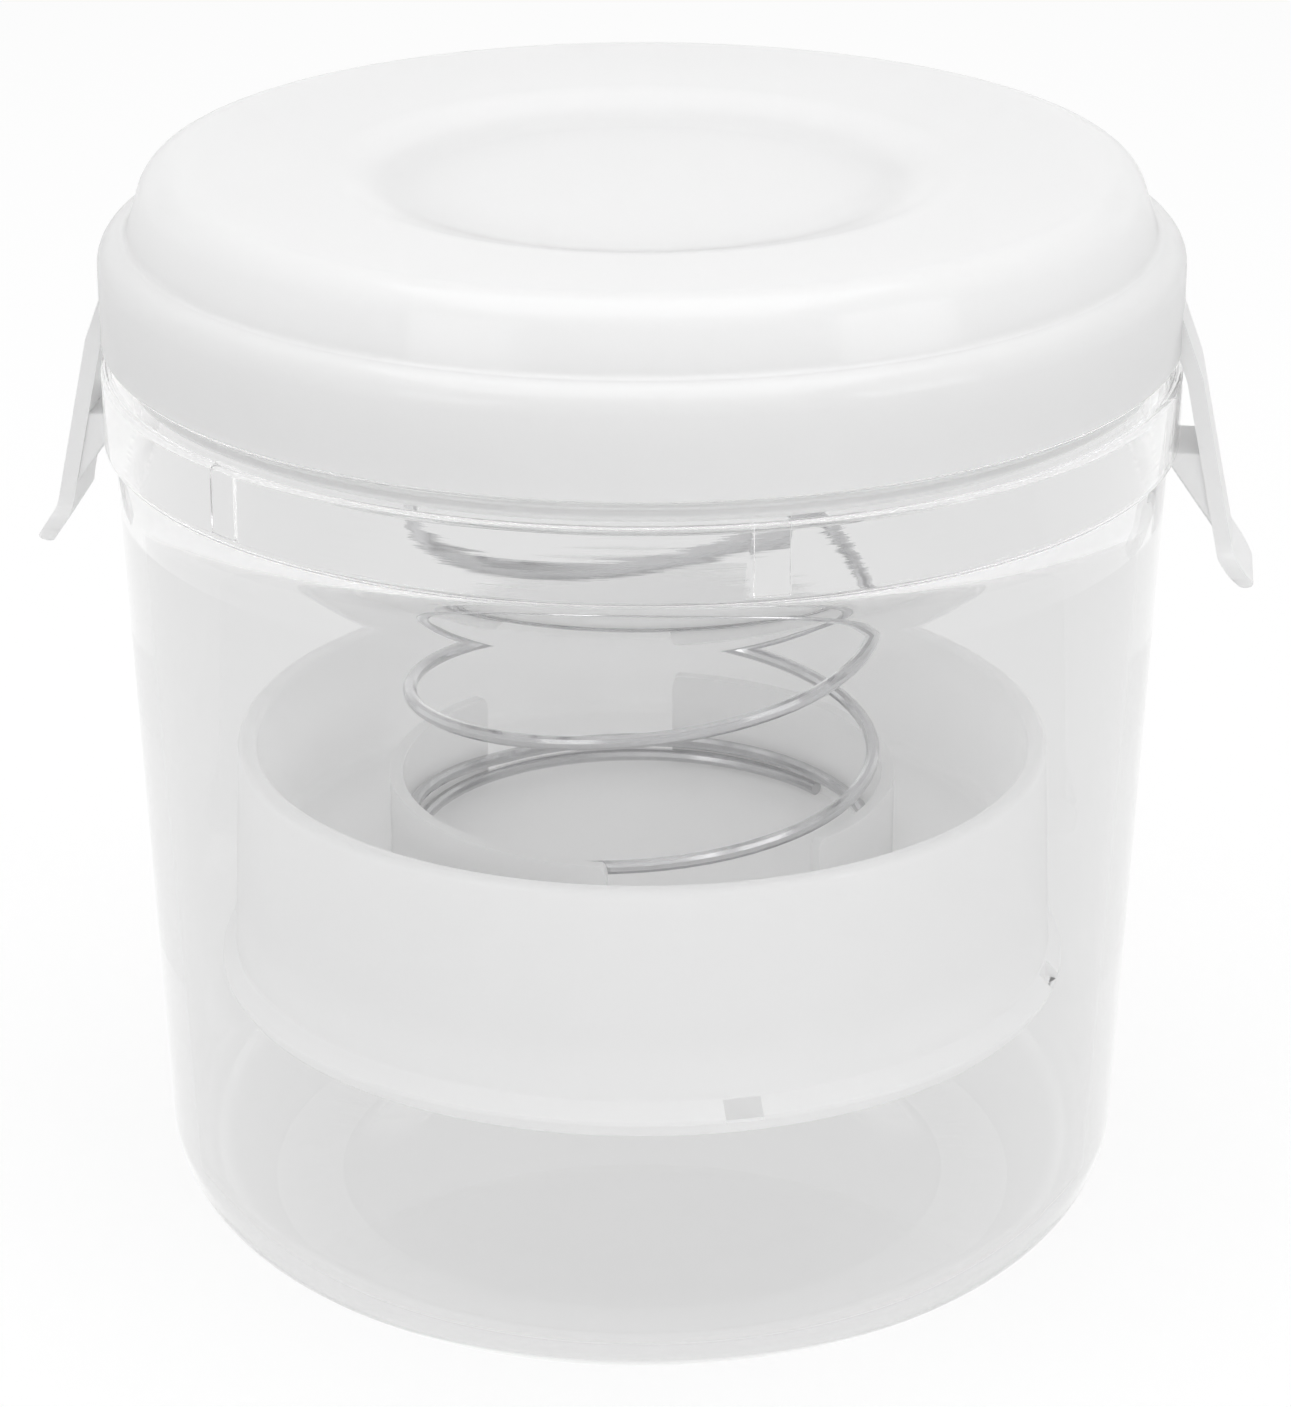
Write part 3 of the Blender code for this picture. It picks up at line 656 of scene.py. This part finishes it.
class FERMENTATION_OT_lid(JarOperator, bpy.types.Operator):
    """Turns the white lid and cuts the slots of its two hinges"""

    bl_idname = "fermentation.lid"
    bl_label = "Lid"

    def make(self, sizes):
        lid, latch = sizes.lid, sizes.latch
        plug_in_r = lid.plug_r - lid.wall
        plug_low = lid.skirt_z - lid.plug_depth
        groove_top = plug_low + lid.plug_lip_height + lid.gasket_height + 2 * GAP
        dish_edge_z = lid.crown_z - lid.crown_slope * (lid.crown_top_r - lid.dish_edge_r)
        dish_floor_z = dish_edge_z - lid.dish_depth
        seat_z = dish_floor_z - lid.wall
        ring_r = sizes.plate.ring_r
        ring_in_r = ring_r - sizes.plate.ring_wall
        piece = turned(
            "lid_moulding",
            [
                (0, dish_floor_z, 0),
                (lid.dish_floor_r, dish_floor_z, 0.016),
                (lid.dish_edge_r, dish_edge_z, 0.016),
                (lid.crown_top_r, lid.crown_z, lid.crown_corner_r),
                (lid.crown_r, lid.shoulder_z, 0.0012),
                (lid.skirt_r, lid.shoulder_z, lid.shoulder_r),
                (lid.skirt_r, lid.skirt_z, 0.0004),
                (lid.skirt_r - lid.skirt_wall, lid.skirt_z, 0.0004),
                (lid.skirt_r - lid.skirt_wall, lid.shoulder_z - lid.wall, 0.0008),
                (lid.plug_r, lid.shoulder_z - lid.wall, 0.0005),
                (lid.plug_r, groove_top + lid.plug_lip, 0),
                (lid.plug_r + lid.plug_lip, groove_top + lid.plug_lip_height, 0),
                (lid.plug_r + lid.plug_lip, groove_top, 0),
                (lid.plug_r, groove_top, 0),
                (lid.plug_r, plug_low + lid.plug_lip_height, 0),
                (lid.plug_r + lid.plug_lip, plug_low + lid.plug_lip_height, 0),
                (lid.plug_r + lid.plug_lip, plug_low, 0.0003),
                (plug_in_r, plug_low, 0.0004),
                (plug_in_r, lid.shoulder_z - lid.wall, 0.0008),
                (lid.crown_r - lid.wall, lid.shoulder_z, 0.0008),
                (lid.crown_top_r - lid.wall, lid.crown_z - lid.wall, lid.crown_corner_r - lid.wall),
                (lid.dish_edge_r, dish_edge_z - lid.wall, 0.006),
                (ring_r, seat_z + lid.wall / 2, 0),
                (ring_r, seat_z - lid.seat_height, 0.0004),
                (ring_in_r, seat_z - lid.seat_height, 0.0004),
                (ring_in_r, seat_z, 0.0005),
                (0, seat_z, 0),
            ],
            sizes.jar.steps,
        )
        pivot_x = lid.skirt_r - latch.pivot_setback
        pivot_z = lid.skirt_z + latch.pivot_lift
        pocket_r = latch.thickness / 2 + GAP
        back_x = pivot_x - pocket_r
        half = latch.width / 2 + GAP
        low = (back_x - latch.boss_wall, -latch.boss_width / 2, pivot_z - pocket_r - latch.boss_wall / 2)
        high = (lid.skirt_r - lid.skirt_wall / 2, latch.boss_width / 2, pivot_z + pocket_r + latch.boss_wall)
        combine(piece, "UNION", *[block("boss", low, high, turn) for turn in (0, math.pi)])
        low = (back_x, -half, plug_low)
        high = (lid.skirt_r + lid.skirt_wall, half, pivot_z + latch.pocket_room)
        combine(piece, "DIFFERENCE", *[block("pocket", low, high, turn) for turn in (0, math.pi)])
        bore_r = latch.trunnion_r + latch.bore_slack
        length = latch.width + 2 * (latch.trunnion + GAP)
        bores = [rod("bore", bore_r, length, x, pivot_z, sides=24) for x in (pivot_x, -pivot_x)]
        combine(piece, "DIFFERENCE", *bores)
        finished(piece)
        dressed(piece, moulded_white("lid plastic", sizes.colours.lid, 0.10, 700), "lid", "lid_plastic", "lid")


class FERMENTATION_OT_gasket(JarOperator, bpy.types.Operator):
    """Turns the lipped gasket in the plug's groove"""

    bl_idname = "fermentation.gasket"
    bl_label = "Gasket"

    def make(self, sizes):
        lid = sizes.lid
        inner = lid.plug_r + GAP
        low = lid.skirt_z - lid.plug_depth + lid.plug_lip_height + GAP
        pitch = lid.gasket_height / 3
        corners = [(inner, low, 0)]
        for index in range(3):
            corners.append((lid.gasket_r - lid.gasket_lip, low + index * pitch, 0.0001))
            corners.append((lid.gasket_r, low + (index + 0.5) * pitch, 0.0003))
        corners.append((lid.gasket_r - lid.gasket_lip, low + lid.gasket_height, 0.0001))
        corners.append((inner, low + lid.gasket_height, 0))
        piece = turned("gasket_ring", corners, sizes.jar.steps, closed=True)
        dressed(piece, milky_rubber("silicone", sizes.colours.silicone), "lid", "silicone", "lid_gasket")


class FERMENTATION_OT_press_plate(JarOperator, bpy.types.Operator):
    """Turns the press plate, raises its split ring and cuts the notches in its band"""

    bl_idname = "fermentation.press_plate"
    bl_label = "Press plate"

    def make(self, sizes):
        plate = sizes.plate
        band_low = plate.foot_z + plate.band_lift
        band_high = band_low + plate.band_height
        band_r = plate.foot_r + plate.band_proud
        wall_foot_r = plate.wall_r + plate.draft * (plate.top_z - band_high)
        under_r = wall_foot_r - plate.wall
        piece = turned(
            "press_plate_moulding",
            [
                (0, plate.floor_z, 0),
                (plate.wall_r - plate.wall, plate.floor_z, 0.0020),
                (plate.wall_r - plate.wall, plate.top_z, plate.edge_r),
                (plate.wall_r, plate.top_z, plate.edge_r),
                (wall_foot_r, band_high, 0.0006),
                (band_r, band_low + plate.band_edge, 0.0002),
                (band_r, band_low, 0.0002),
                (plate.foot_r, band_low, 0.0002),
                (plate.foot_r, plate.foot_z, 0.0006),
                (plate.foot_r - plate.foot_wall, plate.foot_z, 0.0004),
                (under_r, plate.floor_z - plate.floor_wall, 0.0020),
                (0, plate.floor_z - plate.floor_wall, 0),
            ],
            sizes.jar.steps,
        )
        middle = plate.ring_gap_angle + math.pi / 2
        combine(piece, "UNION", self.ring_wall(plate, middle), self.ring_wall(plate, middle + math.pi))
        low = (band_r - plate.notch_depth, -plate.notch_width / 2, band_low)
        high = (band_r + plate.notch_depth, plate.notch_width / 2, band_high + plate.notch_depth)
        notches = [block("notch", low, high, plate.notch_angle + index * math.tau / 6) for index in range(6)]
        combine(piece, "DIFFERENCE", *notches)
        finished(piece)
        material = moulded_white("plate plastic", sizes.colours.plate, 0.16, 520)
        dressed(piece, material, "press", "plate_plastic", "press_plate")

    def ring_wall(self, plate, middle):
        """One curved wall of the split ring: a face spun round the axis, with its upper ends rounded."""
        span = math.pi - plate.ring_gap
        low = plate.floor_z - plate.floor_wall / 2
        high = plate.floor_z + plate.ring_height
        inner = plate.ring_r - plate.ring_wall
        corners = [(inner, low), (plate.ring_r, low), (plate.ring_r, high), (inner, high)]
        piece = drawn_line("ring_wall", [Vector(corner) for corner in corners], closed=True)
        start = middle - span / 2
        bpy.ops.mesh.spin(steps=96, angle=-span, center=(0, 0, 0), axis=(0, 0, 1))
        finished(piece)
        bpy.ops.object.mode_set(mode="EDIT")
        bpy.ops.mesh.select_mode(type="EDGE")
        bpy.ops.mesh.select_all(action="DESELECT")
        bpy.ops.object.mode_set(mode="OBJECT")
        mesh = piece.data
        sweep = [math.atan2(vertex.co.y, vertex.co.x) for vertex in mesh.vertices]
        first, last = min(sweep), max(sweep)
        for edge in mesh.edges:
            ends = [mesh.vertices[index] for index in edge.vertices]
            turns = [sweep[index] for index in edge.vertices]
            flat = all(abs(end.co.z - high) < 1e-6 for end in ends)
            edge.select = flat and abs(turns[0] - turns[1]) < 1e-4 and min(turns[0] - first, last - turns[0]) < 1e-3
        bpy.ops.object.mode_set(mode="EDIT")
        bpy.ops.mesh.bevel(offset=plate.ring_corner_r, segments=8, affect="EDGES")
        bpy.ops.object.mode_set(mode="OBJECT")
        piece.rotation_euler.z = start - first
        bpy.ops.object.transform_apply(location=True, rotation=True, scale=True)
        return softened(piece, 0.0003, 2)


class FERMENTATION_OT_press_spring(JarOperator, bpy.types.Operator):
    """Winds the coil spring between the lid's seat and the plate"""

    bl_idname = "fermentation.press_spring"
    bl_label = "Press spring"

    def make(self, sizes):
        spring, lid, plate = sizes.spring, sizes.lid, sizes.plate
        dish_edge_z = lid.crown_z - lid.crown_slope * (lid.crown_top_r - lid.dish_edge_r)
        seat_z = dish_edge_z - lid.dish_depth - lid.wall
        low = plate.floor_z + spring.slack + spring.wire_r
        high = seat_z - spring.slack - spring.wire_r
        end_pitch = 2 * spring.wire_r + spring.end_gap
        live_rise = (high - low) - 2 * (spring.end_turns * end_pitch + spring.kick)
        total = 2 * spring.end_turns + spring.live_turns
        per_turn = 64
        count = round(total * per_turn) + 1
        bpy.ops.object.select_all(action="DESELECT")
        bpy.ops.curve.primitive_nurbs_path_add()
        piece = bpy.context.object
        piece.name = piece.data.name = "press_spring_wire"
        curve = piece.data
        curve.splines.clear()
        spline = curve.splines.new("POLY")
        spline.points.add(count - 1)
        shares = []
        centres = KDTree(count)
        for index, point in enumerate(spline.points):
            turns = index / per_turn
            live = min(max(turns - spring.end_turns, 0), spring.live_turns)
            share = live / spring.live_turns
            swell = share - math.sin(math.tau * share) / math.tau
            height = (1 - spring.swell) * share + spring.swell * swell
            angle = spring.start + turns * math.tau
            kicks = soft_step(live / spring.kick_turns) + soft_step(1 - (spring.live_turns - live) / spring.kick_turns)
            rise = (turns - live) * end_pitch + height * live_rise + kicks * spring.kick
            centre = (spring.coil_r * math.cos(angle), spring.coil_r * math.sin(angle), low + rise)
            point.co = (*centre, 1)
            centres.insert(centre, index)
            shares.append(1 - rise / (high - low))
        spline.use_smooth = True
        curve.bevel_depth = spring.wire_r
        curve.bevel_resolution = 3
        curve.use_fill_caps = True
        only(piece)
        bpy.ops.object.convert(target="MESH")
        piece = bpy.context.object
        bpy.ops.object.shade_smooth_by_angle(angle=SMOOTH_ANGLE)
        dressed(piece, drawn_steel("drawn steel", sizes.colours.steel), None, "spring_steel", "press_spring")
        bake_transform(piece, "lid", "press", start=(0, 0, high), end=(0, 0, low))
        self.follow_the_wire(piece, centres, shares)

    def follow_the_wire(self, piece, centres, shares):
        """Lets each cross-section of the wire keep its shape when the plate moves, by one weight for all its points."""
        centres.balance()
        values = piece.data.attributes["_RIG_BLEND"].data
        for vertex, value in zip(piece.data.vertices, values):
            value.value = shares[centres.find(vertex.co)[1]]


class FERMENTATION_OT_latches(JarOperator, bpy.types.Operator):
    """Models the two latches: lever, finger pad, hook and hinge pins"""

    bl_idname = "fermentation.latches"
    bl_label = "Latches"

    def make(self, sizes):
        material = moulded_white("latch plastic", sizes.colours.latch, 0.30, 700, through=0.25)
        for name, side in (("latch_right", 1), ("latch_left", -1)):
            piece = self.latch(f"{name}_lever", sizes, side)
            dressed(piece, material, name, "latch_plastic", name)

    def latch(self, name, sizes, side):
        jar, lid, latch = sizes.jar, sizes.lid, sizes.latch
        half = latch.thickness / 2
        collar_r = jar.body_r + jar.collar_step
        collar_top = jar.collar_z + jar.collar_height
        pivot = Vector((lid.skirt_r - latch.pivot_setback, lid.skirt_z + latch.pivot_lift))
        knee = Vector((collar_r + latch.clearance + half, collar_top))
        bend = knee + leaning(latch.lean) * latch.length
        end = bend + leaning(latch.pad_lean) * latch.pad_length
        outline = strip([pivot, knee, bend, end], half, latch.bend_r)
        piece = prism(name, [Vector((side * point.x, point.y)) for point in outline], latch.pad_width)
        combine(piece, "INTERSECT", self.front_view(latch, pivot.y, bend.y, end.y))
        softened(piece, 0.00045)
        hook_top = jar.collar_z - GAP
        ramp_z = hook_top - latch.hook_ramp
        tip = collar_r - latch.hook_catch

        def lever_x(z):
            return knee.x + (knee.y - z) * math.tan(latch.lean)

        hook = [
            (tip, hook_top, 0.0004),
            (lever_x(hook_top), hook_top, 0),
            (lever_x(ramp_z), ramp_z, 0),
            (tip, hook_top - latch.hook_height, 0),
        ]
        web = prism("hook", [Vector((side * x, z)) for x, z, _ in hook], latch.hook_width)
        softened(web, 0.0003)
        pivot_x = side * pivot.x
        barrel = rod("barrel", half, latch.width, pivot_x, pivot.y)
        pins = rod("pins", latch.trunnion_r, latch.width + 2 * latch.trunnion, pivot_x, pivot.y, sides=24)
        for tool in (web, barrel, pins):
            combine(piece, "UNION", tool)
        return finished(piece, math.radians(38))

    def front_view(self, latch, top_z, bend_z, end_z):
        """Prism along X with the lever's front view: even down to the bend, then a wider, rounded pad."""
        above = top_z + latch.thickness
        foot = end_z - latch.thickness / 2
        narrow, wide = latch.width / 2, latch.pad_width / 2
        side = [
            (narrow, above, 0),
            (narrow, bend_z + (wide - narrow) / 2, latch.pad_side_r),
            (wide, bend_z - (wide - narrow), latch.pad_side_r),
            (latch.pad_end_width / 2, foot, latch.pad_end_r),
            (0, foot, 0),
        ]
        half = rounded(side)
        points = half + [Vector((-point.x, point.y)) for point in half[-2::-1]]
        piece = prism("front_view", points, 0.3)
        piece.rotation_euler.z = math.pi / 2
        return finished(piece)


def soft_step(share):
    """Eases from 0 to 1 as the share goes from 0 to 1."""
    share = min(max(share, 0), 1)
    return share * share * (3 - 2 * share)


def leaning(angle):
    """Unit direction in the XZ plane that runs down and leans outwards by an angle."""
    return Vector((math.sin(angle), -math.cos(angle)))


def strip(middle, half, radius):
    """Outline of an even strip along a middle line, its bends filleted and its last end rounded."""
    inner = []
    outer = []
    for index, point in enumerate(middle):
        ways = []
        if index > 0:
            ways.append((point - middle[index - 1]).normalized())
        if index < len(middle) - 1:
            ways.append((middle[index + 1] - point).normalized())
        along = sum(ways, Vector((0, 0))).normalized()
        across = Vector((-along.y, along.x)) * (half / along.dot(ways[0]))
        fillet = 0.95 * half if index == len(middle) - 1 else radius
        inner.append((*(point - across), fillet))
        outer.append((*(point + across), fillet))
    return rounded(inner + outer[::-1])


# Stage


class FERMENTATION_OT_stage(JarOperator, bpy.types.Operator):
    """Sets the camera, the soft lamps, the pale world and the floor"""

    bl_idname = "fermentation.stage"
    bl_label = "Stage"

    def make(self, sizes):
        self.camera()
        self.floor()
        self.world()
        self.lamp("top", (0.0, -0.14, 1.5), (0, 0, 0.10), (1.5, 1.5), 14.4)
        self.lamp("left_window", (-0.72, -1.13, 0.57), (0, 0, 0.16), (0.55, 0.55), 1.8)
        self.lamp("right_window", (1.20, -0.60, 0.57), (0, 0, 0.16), (0.65, 0.55), 2.6)
        bpy.context.scene.view_settings.view_transform = "Standard"

    def camera(self):
        azimuth, pitch = math.radians(6.5), math.radians(22.12)
        distance = 0.6269
        place = (distance * math.sin(azimuth), -distance * math.cos(azimuth), 0.336)
        bpy.ops.object.camera_add(location=place, rotation=(math.pi / 2 - pitch, 0, azimuth))
        camera = bpy.context.object
        camera.data.lens = 112.58
        camera.data.shift_x = 0.0025
        camera.data.shift_y = -0.0061
        camera.data.clip_start = 0.01
        bpy.context.scene.camera = camera

    def floor(self):
        bpy.ops.mesh.primitive_circle_add(vertices=96, radius=4, fill_type="NGON")
        floor = bpy.context.object
        floor.name = "floor"
        paint = Paint(bpy.data.materials.new("pale floor"))
        matt = paint.node("ShaderNodeBsdfDiffuse", {}, {"Color": (0.94, 0.94, 0.94, 1)})
        # Painted shade: the floor's white is dimmer (0.71) where it is seen through the jar
        white = paper(paint, "ShaderNodeEmission", 0.71)
        seen = seen_rays(paint, 0.62) * 0.8
        floor.data.materials.append(paint.surface(paint.node("ShaderNodeMixShader", {}, {0: seen, 1: matt, 2: white})))

    def world(self):
        world = bpy.data.worlds.new("pale room")
        bpy.context.scene.world = world
        paint = Paint(world)
        light = paint.node("ShaderNodeBackground", {}, {"Color": (1, 1, 1, 1), "Strength": 0.57})
        # Painted shade: the world's white is a little dimmer (0.97) where it is seen through the jar
        white = paper(paint, "ShaderNodeBackground", 0.97)
        wall = paint.node("ShaderNodeBackground", {}, {"Color": (1, 1, 1, 1), "Strength": 0.75})
        height = paint.node("ShaderNodeSeparateXYZ", {}, {"Vector": paint.way()}, "Z")
        band = paint.ramp(height, 0.16, 0.32) * (1 - paint.ramp(height, 0.62, 0.86))
        off_camera = 1 - paint.node("ShaderNodeLightPath", output="Is Camera Ray")
        room = paint.node("ShaderNodeMixShader", {}, {0: band * off_camera, 1: white, 2: wall})
        paint.surface(paint.node("ShaderNodeMixShader", {}, {0: seen_rays(paint), 1: light, 2: room}))

    def lamp(self, name, place, target, area, power):
        bpy.ops.object.light_add(type="AREA", location=place)
        lamp = bpy.context.object
        lamp.name = f"{name}_lamp"
        lamp.data.shape = "RECTANGLE"
        lamp.data.size, lamp.data.size_y = area
        lamp.data.energy = power
        way = Vector(target) - Vector(place)
        lamp.rotation_euler = way.to_track_quat("-Z", "Y").to_euler()


def seen_rays(paint, through=1.0):
    """1 for the rays that see the background, from the camera or off shiny pieces, and a share through clear ones."""
    kinds = ("Is Camera Ray", "Is Glossy Ray", "Is Transmission Ray")
    seen = [paint.node("ShaderNodeLightPath", output=kind) for kind in kinds]
    return paint.node("ShaderNodeMath", {"operation": "MINIMUM"}, {0: seen[0] + seen[1] + seen[2] * through, 1: 1.0})


def paper(paint, kind, through):
    """White, and dimmer where it is seen through the clear plastic: painted shade on what shows through the jar."""
    white = paint.node(kind, {}, {"Color": (1, 1, 1, 1), "Strength": 1.0})
    # Painted shade: a dimmer copy of the white that only rays through the clear plastic see
    shaded = paint.node(kind, {}, {"Color": (1, 1, 1, 1), "Strength": through})
    refracted = paint.node("ShaderNodeLightPath", output="Is Transmission Ray")
    return paint.node("ShaderNodeMixShader", {}, {0: refracted, 1: white, 2: shaded})


# Sidebar


class VIEW3D_PT_fermentation_jar(bpy.types.Panel):
    """Lists the jar's pieces and sizes"""

    bl_label = "Fermentation Jar"
    bl_space_type = "VIEW_3D"
    bl_region_type = "UI"
    bl_category = "Fermentation Jar"

    def draw(self, context):
        for operator in OPERATORS:
            self.layout.operator(operator.bl_idname)
        sizes = context.scene.fermentation_jar
        for group in ("jar", "lid", "plate", "spring", "latch", "colours"):
            box = self.layout.box()
            box.label(text=group.title())
            for key in getattr(sizes, group).bl_rna.properties.keys():
                if key not in ("rna_type", "name"):
                    box.prop(getattr(sizes, group), key)


OPERATORS = (
    FERMENTATION_OT_jar_body,
    FERMENTATION_OT_lid,
    FERMENTATION_OT_gasket,
    FERMENTATION_OT_press_plate,
    FERMENTATION_OT_press_spring,
    FERMENTATION_OT_latches,
    FERMENTATION_OT_stage,
)
CLASSES = (
    JarSizes,
    LidSizes,
    PlateSizes,
    SpringSizes,
    LatchSizes,
    Colours,
    FermentationJar,
    *OPERATORS,
    VIEW3D_PT_fermentation_jar,
)


def register():
    for cls in CLASSES:
        bpy.utils.register_class(cls)
    bpy.types.Scene.fermentation_jar = PointerProperty(type=FermentationJar)


def unregister():
    del bpy.types.Scene.fermentation_jar
    for cls in reversed(CLASSES):
        bpy.utils.unregister_class(cls)


def main():
    register()
    bpy.ops.fermentation.jar_body()
    bpy.ops.fermentation.lid()
    bpy.ops.fermentation.gasket()
    bpy.ops.fermentation.press_plate()
    bpy.ops.fermentation.press_spring()
    bpy.ops.fermentation.latches()
    bpy.ops.fermentation.stage()


if __name__ == "__main__":
    main()
